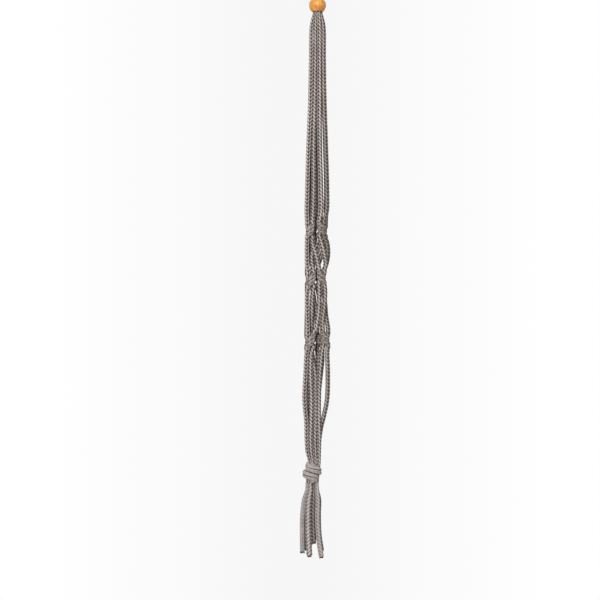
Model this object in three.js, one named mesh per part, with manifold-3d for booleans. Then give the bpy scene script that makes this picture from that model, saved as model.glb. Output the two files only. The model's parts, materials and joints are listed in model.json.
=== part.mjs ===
// A knotted cord hanger for a flower pot: four long cords folded in half over a hook, drawn through a
// wooden bead, tied into a net by three rows of knots, and gathered in one knot over a tassel.
// Millimetres, +Z up. The origin is the inside of the hanging loop's crown, where the hook carries it.
// The viewer looks along +Y, so "front" is towards -Y and "left" is towards -X.

import * as THREE from "three";
import { mergeVertices } from "three/addons/utils/BufferGeometryUtils.js";
import Module from "manifold-3d";

const wasm = await Module();
wasm.setup();

// The cord. A lane is the room that one cord takes beside the next.
const CORD_DIAMETER = 6;
const CORD_GAP = 0.3;
const LANE = CORD_DIAMETER + CORD_GAP;

// The bead and the hanging loop above it
const BEAD_DIAMETER = 25;
const BEAD_EDGE = 0.8;
const BEAD_TRAVEL = 12;
const HOOK_ROOM = 22;
const LOOP_DROP = 62;

// How far each level lies under the one above it, from the centre of the bead down
const ROW_1_DROP = 326;
const ROW_2_DROP = 71;
const ROW_3_DROP = 88.5;
const GATHER_DROP = 192.5;

// The knot that ties two strands is as big as its cord makes it.
const KNOT_WIDTH_SHARE = 2.5;
const KNOT_DEPTH_SHARE = 2.07;
const KNOT_HEIGHT_SHARE = 2.5;
const KNOT_WRAP_DROP_SHARE = 1.27;

// The knot that gathers all eight strands
const GATHER_WIDTH = 29;
const GATHER_DEPTH = 25;
const GATHER_HEIGHT = 30.5;
const GATHER_BUNDLE = 10.4;
const GATHER_WRAP_DROP = 13;

// The free ends under the gathering knot, one for each strand
const TAIL_LENGTHS = [101, 106.5, 87.5, 108, 98.5, 81.5, 98, 90.5];

// How finely cords and round pieces are cut: steps along a cord are in its diameters
const CORD_SIDES = 8;
const CORD_STEP_SHARE = 2;
const LOOP_STEP_SHARE = 1.1;
const KNOT_STEP_SHARE = 0.52;
const GATHER_STEP_SHARE = 0.6;
const LOOP_STEPS = 4;
const WRAP_STEPS = 12;
const BEAD_SIDES = 28;
const BEAD_STEPS = 10;
const GATHER_SIDES = 20;
const MERGE_DISTANCE = 1e-4;

// Places are in lanes, a cord's diameter and its gap: sideways, backward, and up from the row's level.
const ROW_1_SHARES = [[-1.8, -1, -0.1], [0.96, -1, 0.35], [1.25, 1, -0.2], [-1.18, 1, 0.15]];
const ROW_2_SHARES = [[-1.53, -1, -0.2], [0.95, -1, 0.4], [0.62, 1, -0.1], [-1.82, 1, 0.1]];
const ROW_3_SHARES = [[-1.63, -1, -0.1], [1.8, -1, 0.35], [0.5, 1, 0], [-1.95, 1, -0.15]];
const GATHER_SIDEWAYS_SHARE = -1.27;
const NECK_SIDEWAYS_SHARE = -0.78;

// The strands' names, the first four being in front. Each knot ties two, left one first.
const STRANDS = ["1", "2", "3", "4", "5", "6", "7", "8"];
const ROW_1_PAIRS = ["1_2", "3_4", "6_5", "7_8"];
const ROW_2_PAIRS = ["1_8", "2_3", "5_4", "7_6"];
const ROW_3_PAIRS = ["1_2", "3_4", "6_5", "7_8"];

// The strands in the order in which they stand in the gathering knot's neck and underside, left first
const NECK_FRONT = ["1", "2", "8", "3"];
const NECK_BACK = ["7", "6", "5", "4"];
const TAIL_FRONT = ["1", "2", "3", "4"];
const TAIL_BACK = ["7", "8", "6", "5"];

// The strands in the order in which they stand round the bead's bore, from the right front backwards
const BORE_ORDER = ["4", "5", "6", "8", "7", "1", "2", "3"];

// The places of a row of four, and how thick a cord is where it is squeezed: in the gathering knot's neck,
// in the bead's bore, and halfway from there to the hook
const FOUR_SHARES = [-1.5, -0.5, 0.5, 1.5];
const NECK_THICKNESS_SHARE = 0.75;
const BORE_THICKNESS_SHARE = 0.65;
const LEG_THICKNESS_SHARE = 0.8;

// How far under its turning point a tail's cord starts, in the radius of its top
const TAIL_START_SHARE = 0.4;

// A pair knot's two strands: how far out they stand at its faces in lanes and at its waist in diameters,
// and their way between: how open from the waist to the face, and how high in the knot's half height
const PORT_SHARE = 0.6;
const WAIST_SHARE = 0.34;
const KNOT_STRAND_SHARES = [[1, 1], [1, 0.75], [0, 0.2], [0, -0.2], [1, -0.75], [1, -1]];

// The turns of cord round a knot, where they start, and how their ends are tucked in
const KNOT_TURNS = 1.1;
const KNOT_START_TURN = 0.2;
const GATHER_TURNS = 1.6;
const GATHER_START_TURN = 0.15;
const WRAP_TUCK_SHARE = 0.15;
const WRAP_END_SHARE = 0.25;

// The gathering knot's core, in its half width and half height. At 1 it is as wide as its neck.
const GATHER_OUTLINE_SHARES = [[1, -1], [1, -0.8], [0.56, -0.4], [0.6, 0], [0.56, 0.45], [1, 0.85], [1, 1]];

// Routes, chosen point by point from the photographed hang: sideways and backward in lanes, the share of
// the way down, and the cord's thickness there as a share of its diameter.
const UPPER_ROUTES_SHARES = {
  1: [[-1.4, -0.5, 0.095, 0.87], [-1.53, -0.51, 0.25, 0.95], [-1.68, -0.53, 0.433, 1],
    [-2.05, -0.54, 0.616, 1], [-2.38, -0.56, 0.844, 1], [-2.5, -0.62, 0.94, 1]],
  2: [[-0.46, -0.5, 0.095, 0.87], [-0.52, -0.51, 0.25, 0.95], [-0.66, -0.53, 0.433, 1],
    [-0.86, -0.54, 0.616, 1], [-0.9, -0.56, 0.844, 1], [-1.05, -0.62, 0.94, 1]],
  3: [[0.46, -0.5, 0.095, 0.89], [0.46, -0.51, 0.25, 0.95], [0.47, -0.53, 0.433, 1],
    [0.47, -0.54, 0.616, 1], [0.74, -0.56, 0.844, 1], [0.8, -0.62, 0.94, 1]],
  4: [[1.38, -0.5, 0.095, 0.89], [1.44, -0.51, 0.25, 0.95], [1.55, -0.53, 0.433, 1],
    [1.84, -0.54, 0.616, 1], [2.16, -0.56, 0.844, 1], [2.12, -0.62, 0.94, 1]],
  5: [[1.38, 0.5, 0.095, 0.89], [1.42, 0.51, 0.25, 0.95], [1.5, 0.53, 0.433, 1],
    [1.76, 0.54, 0.616, 1], [2.02, 0.56, 0.844, 1], [1.95, 0.62, 0.94, 1]],
  6: [[0.46, 0.5, 0.095, 0.89], [0.42, 0.51, 0.25, 0.95], [0.35, 0.53, 0.433, 1],
    [0.52, 0.54, 0.616, 1], [0.64, 0.56, 0.844, 1], [0.7, 0.62, 0.94, 1]],
  7: [[-1.38, 0.5, 0.095, 0.89], [-1.5, 0.51, 0.25, 0.95], [-1.62, 0.53, 0.433, 1],
    [-1.75, 0.54, 0.616, 1], [-1.8, 0.56, 0.844, 1], [-1.78, 0.62, 0.94, 1]],
  8: [[-0.46, 0.5, 0.095, 0.89], [-0.5, 0.51, 0.25, 0.95], [-0.55, 0.53, 0.433, 1],
    [-0.52, 0.54, 0.616, 1], [-0.42, 0.56, 0.844, 1], [-0.4, 0.62, 0.94, 1]],
};
const ROW_1_TO_2_ROUTES_SHARES = {
  1: [[-2.46, -0.62, 0.25], [-2.46, -0.56, 0.5], [-2.42, -0.62, 0.75]],
  2: [[-1.12, -0.62, 0.22], [-0.4, -0.56, 0.5], [0.12, -0.62, 0.78]],
  3: [[0.82, -0.62, 0.22], [1.42, -0.56, 0.5], [1.86, -0.66, 0.78]],
  4: [[2.14, -0.55, 0.2], [2.4, 0.05, 0.47], [2, 0.6, 0.75]],
  5: [[1.5, 0.62, 0.25], [0.85, 0.56, 0.5], [0.2, 0.62, 0.75]],
  6: [[0.36, 0.62, 0.2], [-0.3, 0.58, 0.5], [-0.95, 0.62, 0.75]],
  7: [[-2.05, 0.78, 0.25], [-2.2, 0.95, 0.5], [-2.35, 0.85, 0.75]],
  8: [[-0.68, 0.62, 0.17], [-1.14, 0.42, 0.38], [-1.38, -0.05, 0.56], [-1.22, -0.56, 0.78]],
};
const ROW_2_TO_3_ROUTES_SHARES = {
  1: [[-2.42, -0.6, 0.2], [-2.38, -0.55, 0.5], [-2.25, -0.6, 0.8]],
  2: [[0.42, -0.6, 0.18], [0.35, -0.55, 0.5], [-0.02, -0.62, 0.75], [-0.4, -0.78, 0.9]],
  3: [[1.7, -0.62, 0.18], [1.45, -0.56, 0.5], [1.08, -0.64, 0.78]],
  4: [[1.45, 0.62, 0.18], [1.75, 0.56, 0.42], [1.9, 0.45, 0.6], [2.2, -0.1, 0.78], [2.4, -0.7, 0.91]],
  5: [[0.28, 0.62, 0.2], [0.62, 0.56, 0.5], [0.95, 0.62, 0.8]],
  6: [[-0.98, 0.62, 0.2], [-0.5, 0.56, 0.5], [-0.2, 0.62, 0.8]],
  7: [[-2.4, 0.62, 0.2], [-2.42, 0.58, 0.45], [-2.5, 0.62, 0.8]],
  8: [[-1.15, -0.62, 0.16], [-1.3, -0.5, 0.4], [-1.35, 0.1, 0.64], [-1.35, 0.62, 0.86]],
};
const LOWER_ROUTES_SHARES = {
  1: [[-2.5, -0.66, 0.06], [-2.76, -0.53, 0.23], [-3.02, -0.53, 0.46], [-2.62, -0.53, 0.64],
    [-2.54, -0.52, 0.8, 0.94], [-2.4, -0.48, 0.9, 0.88]],
  2: [[-1.42, -0.66, 0.06], [-1.6, -0.53, 0.23], [-1.38, -0.53, 0.46], [-1.45, -0.53, 0.64],
    [-1.57, -0.52, 0.8, 0.94], [-1.46, -0.48, 0.9, 0.88]],
  3: [[0.95, -0.7, 0.06], [0.5, -0.53, 0.23], [0.26, -0.53, 0.46], [0.26, -0.53, 0.64],
    [0.36, -0.52, 0.8, 0.94], [0.34, -0.48, 0.9, 0.88]],
  4: [[2.22, -0.7, 0.06], [2.34, -0.5, 0.23], [2.2, -0.35, 0.46], [1.5, 0.1, 0.6],
    [0.85, 0.42, 0.7, 0.98], [0.42, 0.54, 0.82, 0.92]],
  5: [[1.06, 0.8, 0.06], [1.04, 0.78, 0.13], [0.7, 0.74, 0.25], [0.12, 1.0, 0.46], [-0.2, 1.08, 0.64],
    [-0.56, 0.62, 0.82, 0.92]],
  6: [[-0.04, 0.8, 0.06], [0, 0.8, 0.13], [-0.36, 0.8, 0.25], [-0.68, 1.12, 0.35], [-1.0, 1.12, 0.46],
    [-1.28, 1.02, 0.64], [-1.52, 0.58, 0.82, 0.92]],
  7: [[-2.4, 0.72, 0.06], [-2.15, 0.56, 0.23], [-2.22, 0.6, 0.46], [-2.34, 0.62, 0.64],
    [-2.5, 0.54, 0.82, 0.92]],
  8: [[-1.3, 0.75, 0.05], [-1.05, 0.35, 0.12], [-0.56, -0.27, 0.25], [-0.56, 0.02, 0.35], [-0.57, 0.16, 0.46],
    [-0.58, 0.1, 0.64], [-0.6, -0.42, 0.82, 0.92]],
};
const TAIL_ROUTES_SHARES = {
  1: [[-3.1, -0.52, 0.22], [-3.5, -0.55, 0.45], [-3.55, -0.58, 0.75], [-3.5, -0.6, 1]],
  2: [[-2.05, -0.55, 0.22], [-2.18, -0.58, 0.5], [-2.05, -0.6, 0.8], [-1.85, -0.62, 1]],
  3: [[-0.98, -0.52, 0.22], [-1.08, -0.52, 0.5], [-0.98, -0.54, 0.8], [-0.85, -0.56, 1]],
  4: [[0.05, -0.52, 0.22], [-0.02, -0.55, 0.45], [0.3, -0.6, 0.75], [0.92, -0.66, 1]],
  5: [[0.32, 0.52, 0.22], [0.25, 0.55, 0.45], [0.42, 0.6, 0.75], [1.0, 0.66, 1]],
  6: [[-0.8, 0.52, 0.22], [-0.82, 0.55, 0.5], [-0.64, 0.58, 1]],
  7: [[-2.8, 0.52, 0.22], [-2.95, 0.56, 0.5], [-2.72, 0.6, 1]],
  8: [[-1.8, 0.52, 0.22], [-1.88, 0.55, 0.5], [-1.66, 0.58, 1]],
};

// The strands that each cord over the hook turns into, from the front one to the back one
const LOOP_PAIRS = ["2_3", "1_4", "7_5", "8_6"];

const CORD_ROUGHNESS = 0.88;
const BEAD_ROUGHNESS = 0.32;
const cordColour = new THREE.Color(0.44, 0.385, 0.35);
const beadColour = new THREE.Color(0.72, 0.33, 0.08);

const beadLevel = -LOOP_DROP;
const row1Level = beadLevel - ROW_1_DROP;
const row2Level = row1Level - ROW_2_DROP;
const row3Level = row2Level - ROW_3_DROP;
const gatherLevel = row3Level - GATHER_DROP;

// Eight squeezed strands stand in a ring inside the bead, which sets the bore.
const boreCord = CORD_DIAMETER * BORE_THICKNESS_SHARE;
const boreRingRadius = (boreCord + CORD_GAP) / (2 * Math.sin(Math.PI / BORE_ORDER.length));
const boreRadius = boreRingRadius + boreCord / 2 + CORD_GAP;
const beadRadius = BEAD_DIAMETER / 2;
const beadHalfHeight = Math.sqrt(beadRadius ** 2 - boreRadius ** 2);

// In the gathering knot's neck and underside the squeezed strands stand in two rows of four.
const neckCord = CORD_DIAMETER * NECK_THICKNESS_SHARE;
const neckLane = neckCord + CORD_GAP;
const gatherSideways = GATHER_SIDEWAYS_SHARE * LANE;
const neckSideways = NECK_SIDEWAYS_SHARE * LANE;
const neckLevel = gatherLevel + GATHER_HEIGHT / 2;
const gatherFoot = gatherLevel - GATHER_HEIGHT / 2;
const pivotLevel = gatherFoot - CORD_GAP - neckCord / 2;

const knotWidth = KNOT_WIDTH_SHARE * CORD_DIAMETER;
const knotDepth = KNOT_DEPTH_SHARE * CORD_DIAMETER;
const knotHeight = KNOT_HEIGHT_SHARE * CORD_DIAMETER;
const knotBack = (knotDepth + CORD_GAP) / 2;
const portOut = PORT_SHARE * LANE;

// A place on a cord's route, and the cord's thickness there as a share of its diameter
const stop = (point, thickness = 1) => ({ point, thickness });

// Where a strand stands in the ring inside the bead: half a step either side of straight right or left
function borePlace(strand, level) {
  const turn = ((BORE_ORDER.indexOf(strand) - 0.5) / BORE_ORDER.length) * 2 * Math.PI;
  return new THREE.Vector3(boreRingRadius * Math.cos(turn), boreRingRadius * Math.sin(turn), level);
}

// A cord's cross-section, with flats to the front, back and sides
function cordSection(diameter) {
  const corners = [];
  for (let corner = 0; corner < CORD_SIDES; corner += 1) {
    const turn = ((corner + 0.5) / CORD_SIDES) * 2 * Math.PI;
    corners.push(new THREE.Vector2((diameter / 2) * Math.cos(turn), (diameter / 2) * Math.sin(turn)));
  }
  return new THREE.Shape(corners);
}

function thicknessAt(route, share) {
  const along = share * (route.length - 1);
  const before = Math.min(Math.floor(along), route.length - 2);
  return THREE.MathUtils.lerp(route[before].thickness, route[before + 1].thickness, along - before);
}

// The ring that a corner belongs to: the corner lies square to the route there, and one radius away.
function ownRing(rings, corner, radius) {
  const misfits = rings.map(({ centre, ahead }) => {
    const out = corner.clone().sub(centre);
    return Math.abs(out.length() - radius) + Math.abs(out.dot(ahead));
  });
  return rings[misfits.indexOf(Math.min(...misfits))];
}

// A cord along a route, with one of its rings in the middle, and the corners of each ring
function cordRings(route, stepShare, diameter) {
  const curve = new THREE.CatmullRomCurve3(route.map((place) => place.point));
  const steps = 2 * Math.max(1, Math.round(curve.getLength() / (2 * stepShare * diameter)));
  const geometry = new THREE.ExtrudeGeometry(cordSection(diameter), {
    steps,
    bevelEnabled: false,
    extrudePath: curve,
  });
  const rings = curve.getSpacedPoints(steps).map((centre, step) => ({
    centre,
    ahead: curve.getTangentAt(step / steps),
    thickness: thicknessAt(route, curve.getUtoTmapping(step / steps)),
    corners: [],
  }));
  const places = geometry.attributes.position;
  for (let index = 0; index < places.count; index += 1) {
    const corner = new THREE.Vector3().fromBufferAttribute(places, index);
    const ring = ownRing(rings, corner, diameter / 2);
    corner.sub(ring.centre).multiplyScalar(ring.thickness).add(ring.centre);
    places.setXYZ(index, corner.x, corner.y, corner.z);
    ring.corners.push(corner.toArray());
  }
  return { geometry, rings };
}

// A cord that bends gently. Each ring is drawn in to the cord's thickness.
function cordTube(route, stepShare, diameter = CORD_DIAMETER) {
  const { geometry } = cordRings(route, stepShare, diameter);
  geometry.computeVertexNormals();
  return geometry;
}

// A cord that bends tightly and presses on its own turns. Each step between two rings is a solid of its
// own, and all are joined, so that no walls cross.
function woundCord(route, stepShare, diameter = CORD_DIAMETER) {
  const { rings } = cordRings(route, stepShare, diameter);
  const steps = rings.slice(1).map((ring, index) => (
    wasm.Manifold.hull([...rings[index].corners, ...ring.corners])
  ));
  return wasm.Manifold.union(steps);
}

// The hand-chosen places of a stretch that runs from one level down to another
function placesBetween(shares, startLevel, endLevel) {
  return shares.map(([sideways, backward, down, thickness = 1]) => {
    const level = THREE.MathUtils.lerp(startLevel, endLevel, down);
    return stop(new THREE.Vector3(sideways * LANE, backward * LANE, level), thickness);
  });
}

// The stretch between two faces: straight out of each face, and through the hand-chosen places between
function stretchRoute(top, bottom, shares, bottomThickness = 1) {
  const straight = CORD_DIAMETER / 2;
  const start = top.clone().setZ(top.z - CORD_GAP);
  const end = bottom.clone().setZ(bottom.z + CORD_GAP);
  return [
    stop(start),
    stop(start.clone().setZ(start.z - straight)),
    ...placesBetween(shares, start.z, end.z),
    stop(end.clone().setZ(end.z + straight), bottomThickness),
    stop(end, bottomThickness),
  ];
}

// From the middle of the bead's bore, squeezed until it is out of the bead, down to the first row
function upperRoute(strand, bottom) {
  const startLevel = beadLevel - CORD_GAP / 2;
  const outLevel = beadLevel - beadHalfHeight - CORD_GAP;
  const end = bottom.clone().setZ(bottom.z + CORD_GAP);
  return [
    stop(borePlace(strand, startLevel), BORE_THICKNESS_SHARE),
    stop(borePlace(strand, outLevel), BORE_THICKNESS_SHARE),
    ...placesBetween(UPPER_ROUTES_SHARES[strand], beadLevel, end.z),
    stop(end.clone().setZ(end.z + CORD_DIAMETER / 2)),
    stop(end),
  ];
}

function closedSolid(geometry) {
  const bare = geometry.clone();
  bare.deleteAttribute("normal");
  bare.deleteAttribute("uv");
  const merged = mergeVertices(bare, MERGE_DISTANCE);
  const mesh = new wasm.Mesh({
    numProp: 3,
    vertProperties: new Float32Array(merged.attributes.position.array),
    triVerts: new Uint32Array(merged.index.array),
  });
  return new wasm.Manifold(mesh);
}

function joined(solids) {
  const mesh = wasm.Manifold.union(solids).getMesh();
  const geometry = new THREE.BufferGeometry();
  geometry.setAttribute("position", new THREE.BufferAttribute(mesh.vertProperties, 3));
  geometry.setIndex(new THREE.BufferAttribute(mesh.triVerts, 1));
  geometry.computeVertexNormals();
  return geometry;
}

// Cord wound round a knot, going down as it goes round, with both ends tucked inside
function wrapRoute({ width, depth, cord, drop, turns, startTurn, mirror }) {
  const count = Math.round(turns * WRAP_STEPS);
  const route = [];
  for (let index = 0; index <= count; index += 1) {
    const along = index / count;
    const turn = (startTurn - along * turns) * 2 * Math.PI;
    const fromEnd = Math.min(along, 1 - along) / WRAP_TUCK_SHARE;
    const out = THREE.MathUtils.lerp(WRAP_END_SHARE, 1, Math.min(1, fromEnd));
    const sideways = (mirror * out * (width - cord)) / 2;
    const backward = (out * (depth - cord)) / 2;
    const level = drop * (0.5 - along);
    route.push(stop(new THREE.Vector3(sideways * Math.cos(turn), backward * Math.sin(turn), level)));
  }
  return route;
}

// Two strands drawn together at the knot's waist, and the turn that ties them
function pairKnot(mirror) {
  const strands = [-1, 1].map((side) => {
    const route = KNOT_STRAND_SHARES.map(([opening, up]) => {
      const out = THREE.MathUtils.lerp(WAIST_SHARE * CORD_DIAMETER, portOut, opening);
      return stop(new THREE.Vector3(side * out, 0, (up * knotHeight) / 2));
    });
    return closedSolid(cordTube(route, KNOT_STEP_SHARE));
  });
  const route = wrapRoute({
    width: knotWidth,
    depth: knotDepth,
    cord: CORD_DIAMETER,
    drop: KNOT_WRAP_DROP_SHARE * CORD_DIAMETER,
    turns: KNOT_TURNS,
    startTurn: KNOT_START_TURN,
    mirror,
  });
  return joined([...strands, woundCord(route, KNOT_STEP_SHARE)]);
}

// Moves what lies above the middle sideways, in step with its height.
function lean(geometry, sideways, top) {
  const corners = geometry.attributes.position;
  for (let index = 0; index < corners.count; index += 1) {
    const height = Math.max(0, corners.getZ(index)) / top;
    corners.setX(index, corners.getX(index) + sideways * height);
  }
}

// All eight strands drawn together, and the turns of the whole bundle that tie them. The waist is a share
// of the knot's width, and the neck and the underside just take the two rows of four.
function gatherKnot() {
  const endRadius = 2 * neckLane + CORD_GAP;
  const outline = GATHER_OUTLINE_SHARES.map(([out, up]) => new THREE.Vector2(
    out < 1 ? (out * GATHER_WIDTH) / 2 : endRadius,
    (up * GATHER_HEIGHT) / 2,
  ));
  outline.unshift(new THREE.Vector2(0, outline[0].y));
  outline.push(new THREE.Vector2(0, outline.at(-1).y));
  const core = new THREE.LatheGeometry(outline, GATHER_SIDES);
  core.rotateX(Math.PI / 2);
  core.scale(1, GATHER_DEPTH / GATHER_WIDTH, 1);
  lean(core, neckSideways - gatherSideways, GATHER_HEIGHT / 2);
  const route = wrapRoute({
    width: GATHER_WIDTH,
    depth: GATHER_DEPTH,
    cord: GATHER_BUNDLE,
    drop: GATHER_WRAP_DROP,
    turns: GATHER_TURNS,
    startTurn: GATHER_START_TURN,
    mirror: -1,
  });
  return joined([closedSolid(core), woundCord(route, GATHER_STEP_SHARE, GATHER_BUNDLE)]);
}

// The bead is turned round its bore, whose edges are broken.
function beadShape() {
  const edgeLevel = beadHalfHeight - BEAD_EDGE;
  const endTurn = Math.asin((beadHalfHeight - BEAD_EDGE / 2) / beadRadius);
  const outline = [new THREE.Vector2(boreRadius, -edgeLevel)];
  for (let step = 0; step <= BEAD_STEPS; step += 1) {
    const turn = THREE.MathUtils.lerp(-endTurn, endTurn, step / BEAD_STEPS);
    outline.push(new THREE.Vector2(beadRadius * Math.cos(turn), beadRadius * Math.sin(turn)));
  }
  outline.push(new THREE.Vector2(boreRadius, edgeLevel));
  outline.push(outline[0].clone());
  const geometry = new THREE.LatheGeometry(outline, BEAD_SIDES);
  geometry.rotateX(Math.PI / 2);
  return geometry;
}

// A cord over the hook: up out of the bead on the left, round, and down into it on the right. It stays
// squeezed for as far above the bead as the bead can be pushed up.
function loopCord(left, right, lane) {
  const turnRadius = (HOOK_ROOM + CORD_DIAMETER) / 2;
  const turnLevel = -HOOK_ROOM / 2;
  const inBead = beadLevel + CORD_GAP / 2;
  const overBead = beadLevel + beadHalfHeight + BEAD_TRAVEL + CORD_GAP;
  const leg = (strand, side) => {
    const top = new THREE.Vector3(side * turnRadius, lane * LANE, turnLevel);
    const squeezed = [inBead, (inBead + overBead) / 2, overBead].map((level) => borePlace(strand, level));
    return [
      ...squeezed.map((point) => stop(point, BORE_THICKNESS_SHARE)),
      stop(squeezed[2].clone().lerp(top, 0.5), LEG_THICKNESS_SHARE),
    ];
  };
  const over = [];
  for (let step = 0; step <= LOOP_STEPS; step += 1) {
    const turn = Math.PI * (1 - step / LOOP_STEPS);
    const level = turnLevel + turnRadius * Math.sin(turn);
    over.push(stop(new THREE.Vector3(turnRadius * Math.cos(turn), lane * LANE, level)));
  }
  return cordTube([...leg(left, -1), ...over, ...leg(right, 1).reverse()], LOOP_STEP_SHARE);
}

// A free end hangs from its own turning point under the gathering knot. Its round top has the cord's
// flats, and the cord starts a little under the top's middle.
function tailShape(pivot, length, shares) {
  const start = pivot.clone().setZ(pivot.z - (TAIL_START_SHARE * neckCord) / 2);
  const outOfKnot = pivot.clone().setZ(pivot.z - CORD_DIAMETER);
  const route = [
    stop(start, NECK_THICKNESS_SHARE),
    stop(outOfKnot, (NECK_THICKNESS_SHARE + 1) / 2),
    ...placesBetween(shares, pivot.z, gatherFoot - length),
  ];
  const top = new THREE.SphereGeometry(neckCord / 2, CORD_SIDES, CORD_SIDES / 2);
  top.rotateX(Math.PI / 2);
  top.rotateZ(Math.PI / CORD_SIDES);
  top.translate(pivot.x, pivot.y, pivot.z);
  return joined([closedSolid(cordTube(route, CORD_STEP_SHARE)), closedSolid(top)]);
}

const group = new THREE.Group();

function add(name, geometry, colour, roughness) {
  const material = new THREE.MeshStandardMaterial({ color: colour, roughness, metalness: 0 });
  const mesh = new THREE.Mesh(geometry, material);
  mesh.name = name;
  group.add(mesh);
  return mesh;
}

const addCord = (name, geometry) => add(name, geometry, cordColour, CORD_ROUGHNESS);

const bead = add("bead", beadShape(), beadColour, BEAD_ROUGHNESS);
bead.position.z = beadLevel;

LOOP_PAIRS.forEach((pair, index) => {
  const [left, right] = pair.split("_");
  addCord(`loop_cord_${index + 1}`, loopCord(left, right, FOUR_SHARES[index]));
});

// The knots of one row, and the faces where each strand enters and leaves them
function addRow(row, level, places, pairs) {
  const tops = {};
  const feet = {};
  places.forEach(([sideways, backward, up], index) => {
    const knot = addCord(`row_${row}_knot_${pairs[index]}`, pairKnot(sideways < 0 ? 1 : -1));
    knot.position.set(sideways * LANE, backward * knotBack, level + up * LANE);
    pairs[index].split("_").forEach((strand, side) => {
      const face = knot.position.clone();
      face.x += side === 0 ? -portOut : portOut;
      tops[strand] = face.clone().setZ(face.z + knotHeight / 2);
      feet[strand] = face.clone().setZ(face.z - knotHeight / 2);
    });
  });
  return { tops, feet };
}

const row1 = addRow(1, row1Level, ROW_1_SHARES, ROW_1_PAIRS);
const row2 = addRow(2, row2Level, ROW_2_SHARES, ROW_2_PAIRS);
const row3 = addRow(3, row3Level, ROW_3_SHARES, ROW_3_PAIRS);

const gather = addCord("gather_knot", gatherKnot());
gather.position.set(gatherSideways, 0, gatherLevel);

const neckTops = {};
const pivots = {};
FOUR_SHARES.forEach((share, index) => {
  const above = neckSideways + share * neckLane;
  const below = gatherSideways + share * neckLane;
  neckTops[NECK_FRONT[index]] = new THREE.Vector3(above, -neckLane / 2, neckLevel);
  neckTops[NECK_BACK[index]] = new THREE.Vector3(above, neckLane / 2, neckLevel);
  pivots[TAIL_FRONT[index]] = new THREE.Vector3(below, -neckLane / 2, pivotLevel);
  pivots[TAIL_BACK[index]] = new THREE.Vector3(below, neckLane / 2, pivotLevel);
});

STRANDS.forEach((strand, index) => {
  const lowerShares = LOWER_ROUTES_SHARES[strand];
  const routes = {
    upper: upperRoute(strand, row1.tops[strand]),
    row_1_to_2: stretchRoute(row1.feet[strand], row2.tops[strand], ROW_1_TO_2_ROUTES_SHARES[strand]),
    row_2_to_3: stretchRoute(row2.feet[strand], row3.tops[strand], ROW_2_TO_3_ROUTES_SHARES[strand]),
    lower: stretchRoute(row3.feet[strand], neckTops[strand], lowerShares, NECK_THICKNESS_SHARE),
  };
  for (const [part, route] of Object.entries(routes)) {
    addCord(`strand_${strand}_${part}`, cordTube(route, CORD_STEP_SHARE));
  }
  const tail = tailShape(pivots[strand], TAIL_LENGTHS[index], TAIL_ROUTES_SHARES[strand]);
  addCord(`strand_${strand}_tail`, tail);
});

export default group;
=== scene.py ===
"""A hanging planter of knotted braided cord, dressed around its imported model.

Four long cords are folded in half over a hook and drawn through a wooden bead. Their eight strands are tied
into a net by three rows of knots, gathered in one knot, and end in a tassel. Metres, +Z up, and the viewer
looks along +Y.
"""
import json
import math

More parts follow.
